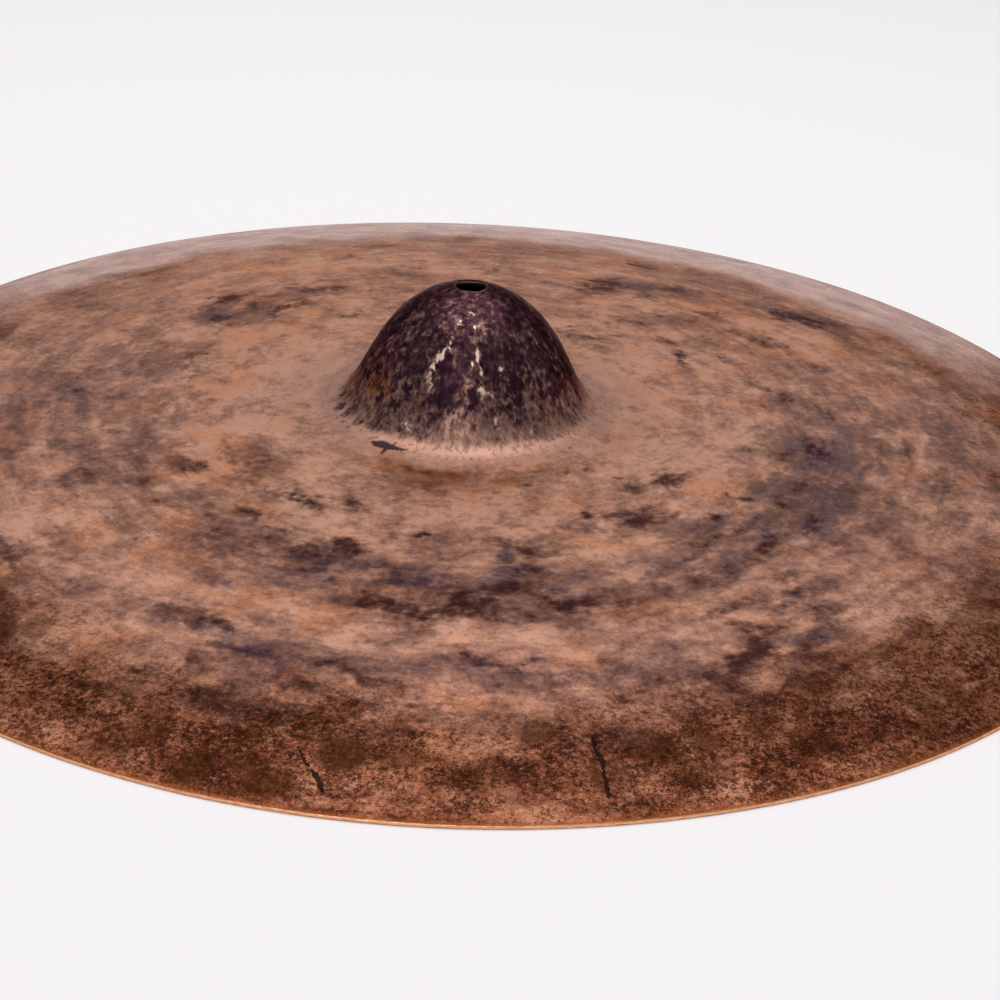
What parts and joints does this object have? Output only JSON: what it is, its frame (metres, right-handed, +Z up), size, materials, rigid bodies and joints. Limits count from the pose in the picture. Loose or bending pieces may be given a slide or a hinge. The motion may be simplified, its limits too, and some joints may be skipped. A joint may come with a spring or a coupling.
{
  "type": "cymbal",
  "caption": "Large hand-hammered bronze cymbal with a tall domed cup, a shallow bow, a turned-down edge and a central stand hole.",
  "frame": {"origin": "on the stand hole's axis, in the plane that the edge stands on with the cup upward", "axes": "+Z up the stand hole's axis, out of the crown of the cup; X and Y are any two square directions, because the disc is round"},
  "size_m": [0.5588, 0.5588, 0.0726],
  "materials": {
    "bronze": "unlathed cast and hammered bronze, mottled brown and purple-black patina, raw cut edge"
  },
  "bodies": {
    "root": {"cymbal": "bronze"}
  },
  "joints": []
}
